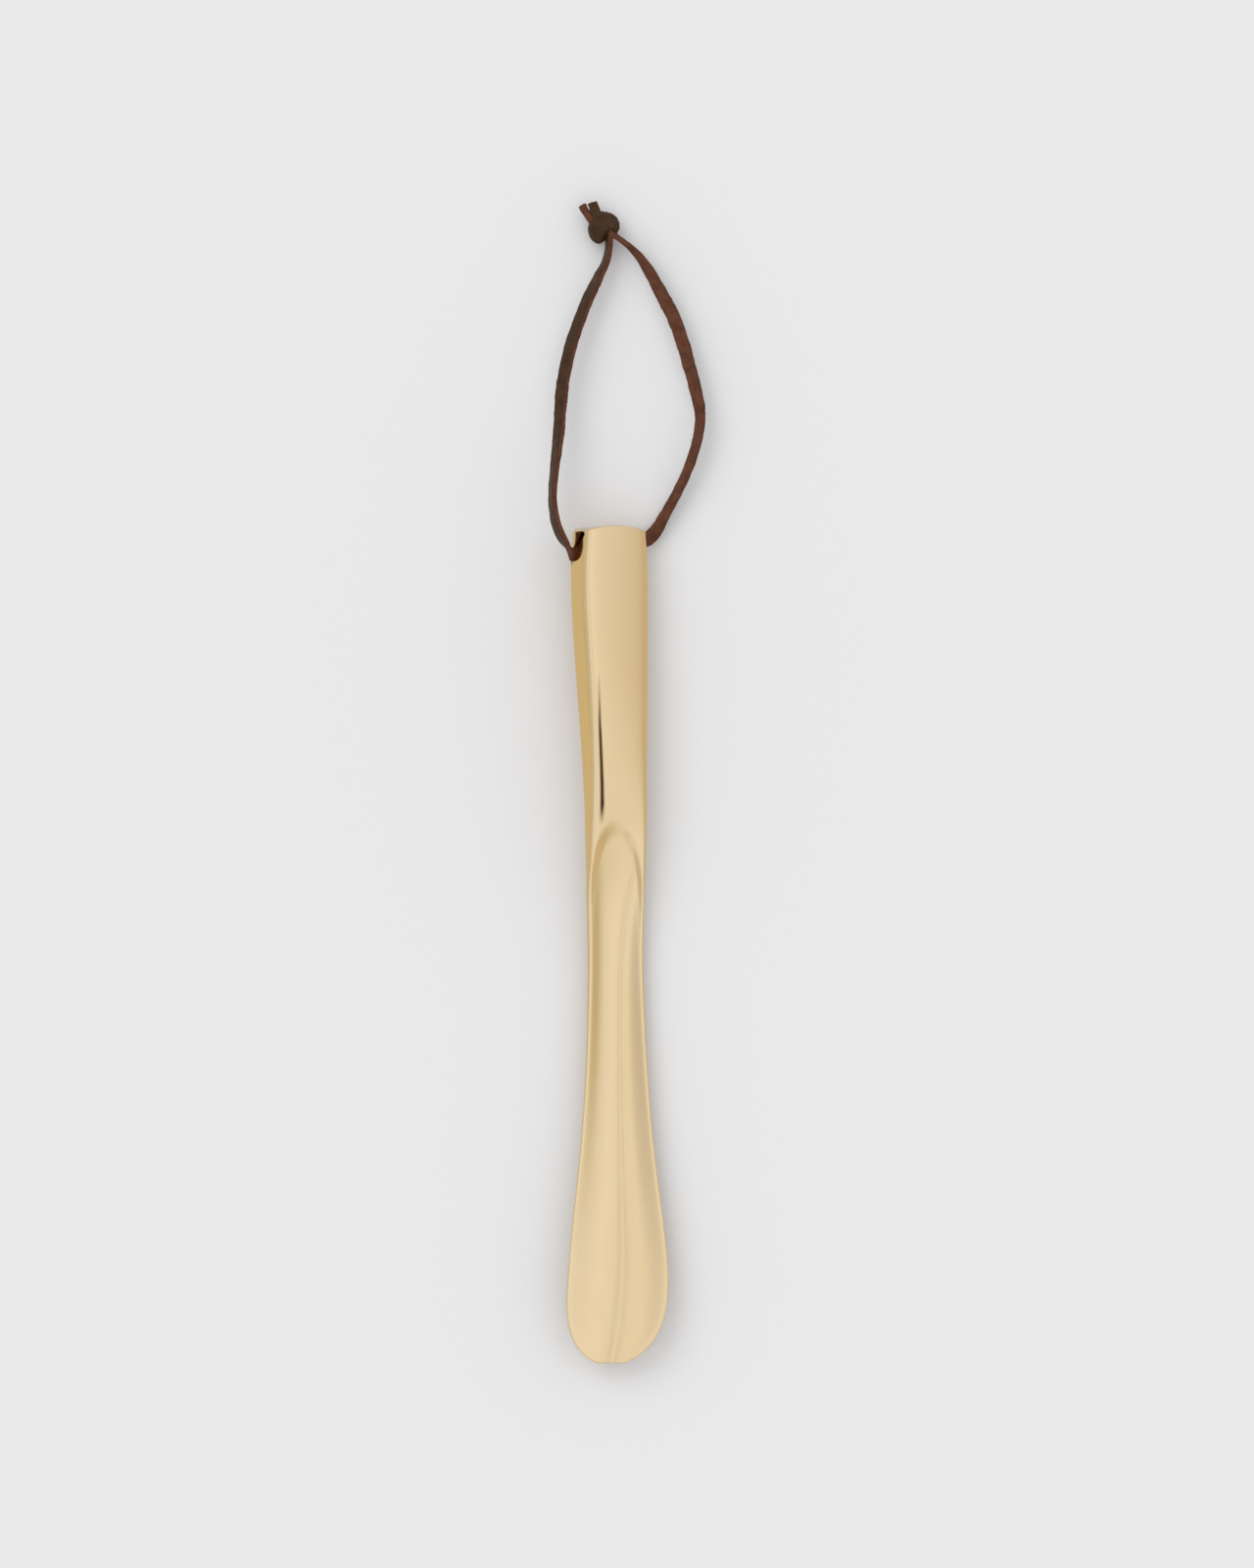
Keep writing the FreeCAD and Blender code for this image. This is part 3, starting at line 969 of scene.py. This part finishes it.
def leather_edge():
    """The thong's cut edges."""
    thong = settings("shoehorn_thong")
    darker = tuple(part * 0.45 for part in thong.flesh_colour)
    return leather_material(
        "leather_edge", thong.flesh_colour, darker, pore_scale=3800, depth=0.3 * MM, rough=0.9
    )


# The studio

FLOOR_WIDE = 6.0
KEY_TOWARDS = (-0.7, 0.75, 1.0)
KEY_SPREAD = 40
KEY_STRENGTH = 0.56
# The camera, straight above the middle of the object: what it sees of the floor's length, how high it
# stands, and the middle of its view.
VIEW_LONG = 640 * MM
VIEW_HEIGHT = 3.0
VIEW_MIDDLE = (3.8 * MM, 65.6 * MM, 0)
# The room's colour low down and overhead.
ROOM_LOW = (0.69, 0.69, 0.69)
ROOM_HIGH = (1.0, 1.0, 1.015)
# Brightness of the room overhead from left to right: a thin bright strip between two darker ones, and
# the brightness at the far left and the far right.
STRIP_ENDS = (0.80, 1.05)
STRIP_LEVELS = (
    (0.18, 0.86),
    (0.30, 1.0),
    (0.44, 1.0),
    (0.475, 0.84),
    (0.490, 0.88),
    (0.498, 1.16),
    (0.508, 1.16),
    (0.516, 0.88),
    (0.535, 0.84),
    (0.575, 1.0),
    (0.70, 1.04),
)


def studio_floor():
    """A wide, flat, pale floor that the object lies on."""
    start_piece()
    bpy.ops.mesh.primitive_plane_add(size=FLOOR_WIDE, location=(0, 0, 0))
    floor = bpy.context.object
    floor.name = "studio_floor"
    material, tree, shader = new_material("studio_paper")
    shader.inputs["Base Color"].default_value = (0.80, 0.80, 0.80, 1)
    shader.inputs["Roughness"].default_value = 0.9
    shader.inputs["Specular IOR Level"].default_value = 0.1
    floor.data.materials.append(material)


def studio_light(name, towards, spread, strength):
    """A wide soft light from one direction that gives shadows and no highlight of its own."""
    data = bpy.data.lights.new(name, "SUN")
    data.angle = math.radians(spread)
    data.energy = strength
    lamp = bpy.data.objects.new(name, data)
    lamp.rotation_euler = Vector(towards).to_track_quat("Z", "Y").to_euler()
    lamp.visible_glossy = False
    bpy.context.collection.objects.link(lamp)


def studio_world():
    """An even, bright room, darker low down, with a thin bright strip of light straight above."""
    world = bpy.data.worlds.new("studio_room")
    world.use_nodes = True
    bpy.context.scene.world = world
    tree = world.node_tree
    background = tree.nodes["Background"]
    place = add_node(tree, "ShaderNodeTexCoord")
    parts = add_node(tree, "ShaderNodeSeparateXYZ")
    tree.links.new(place.outputs["Generated"], parts.inputs[0])
    up = to_range(tree, parts.outputs["Z"], 0.0, 0.9, 0.0, 1.0)
    colour = mix_colours(tree, up, ROOM_LOW, ROOM_HIGH)
    strip = add_node(tree, "ShaderNodeValToRGB")
    tree.links.new(to_range(tree, parts.outputs["X"], -1.0, 1.0, 0.0, 1.0), strip.inputs["Fac"])
    stops = strip.color_ramp.elements
    for place_across, level in STRIP_LEVELS:
        stop = stops.new(place_across)
        stop.color = (level, level, level, 1)
    for stop, level in zip((stops[0], stops[-1]), STRIP_ENDS):
        stop.color = (level, level, level, 1)
    striped = add_node(tree, "ShaderNodeMix", data_type="RGBA", blend_type="MULTIPLY")
    tree.links.new(to_range(tree, parts.outputs["Z"], 0.2, 0.5, 0.0, 1.0), striped.inputs[0])
    tree.links.new(colour, striped.inputs[6])
    tree.links.new(strip.outputs["Color"], striped.inputs[7])
    tree.links.new(striped.outputs[2], background.inputs["Color"])
    background.inputs["Strength"].default_value = 1.0


def studio_camera():
    """A long lens straight above the object, its loop included."""
    data = bpy.data.cameras.new("camera")
    data.sensor_fit = "VERTICAL"
    data.sensor_height = 24.0
    data.lens = data.sensor_height * VIEW_HEIGHT / VIEW_LONG
    data.clip_end = 20.0
    camera = bpy.data.objects.new("camera", data)
    camera.location = Vector(VIEW_MIDDLE) + Vector((0, 0, VIEW_HEIGHT))
    bpy.context.collection.objects.link(camera)
    bpy.context.scene.camera = camera


class SHOEHORN_OT_stage(bpy.types.Operator):
    """Set the pale floor, the bright room, the soft light and the camera"""

    bl_idname = "shoehorn.stage"
    bl_label = "Studio"

    def execute(self, context):
        context.scene.view_settings.view_transform = "Standard"
        studio_floor()
        studio_world()
        studio_light("key_light", KEY_TOWARDS, KEY_SPREAD, KEY_STRENGTH)
        studio_camera()
        return {"FINISHED"}


class SHOEHORN_PT_panel(bpy.types.Panel):
    """Lists the shoehorn's pieces and settings"""

    bl_idname = "SHOEHORN_PT_panel"
    bl_label = "Shoehorn"
    bl_space_type = "VIEW_3D"
    bl_region_type = "UI"
    bl_category = "Shoehorn"

    def draw(self, context):
        for group in ("shoehorn_brass", "shoehorn_thong"):
            values = getattr(context.scene, group)
            for name in values.__annotations__:
                self.layout.prop(values, name)
        for operator in PIECES:
            self.layout.operator(operator.bl_idname)


SETTINGS = (("shoehorn_brass", BrassSettings), ("shoehorn_thong", ThongSettings))
PIECES = (SHOEHORN_OT_stage, SHOEHORN_OT_brass, SHOEHORN_OT_knot, SHOEHORN_OT_strands)


def register():
    """Registers the settings, the operators and the panel."""
    for name, group in SETTINGS:
        bpy.utils.register_class(group)
        setattr(bpy.types.Scene, name, PointerProperty(type=group))
    for operator in PIECES:
        bpy.utils.register_class(operator)
    bpy.utils.register_class(SHOEHORN_PT_panel)


def unregister():
    """Takes the panel, the operators and the settings out again."""
    bpy.utils.unregister_class(SHOEHORN_PT_panel)
    for operator in reversed(PIECES):
        bpy.utils.unregister_class(operator)
    for name, group in reversed(SETTINGS):
        delattr(bpy.types.Scene, name)
        bpy.utils.unregister_class(group)


def main():
    """Builds every piece."""
    register()
    bpy.ops.shoehorn.stage()
    bpy.ops.shoehorn.brass()
    bpy.ops.shoehorn.knot()
    bpy.ops.shoehorn.strands()


if __name__ == "__main__":
    main()
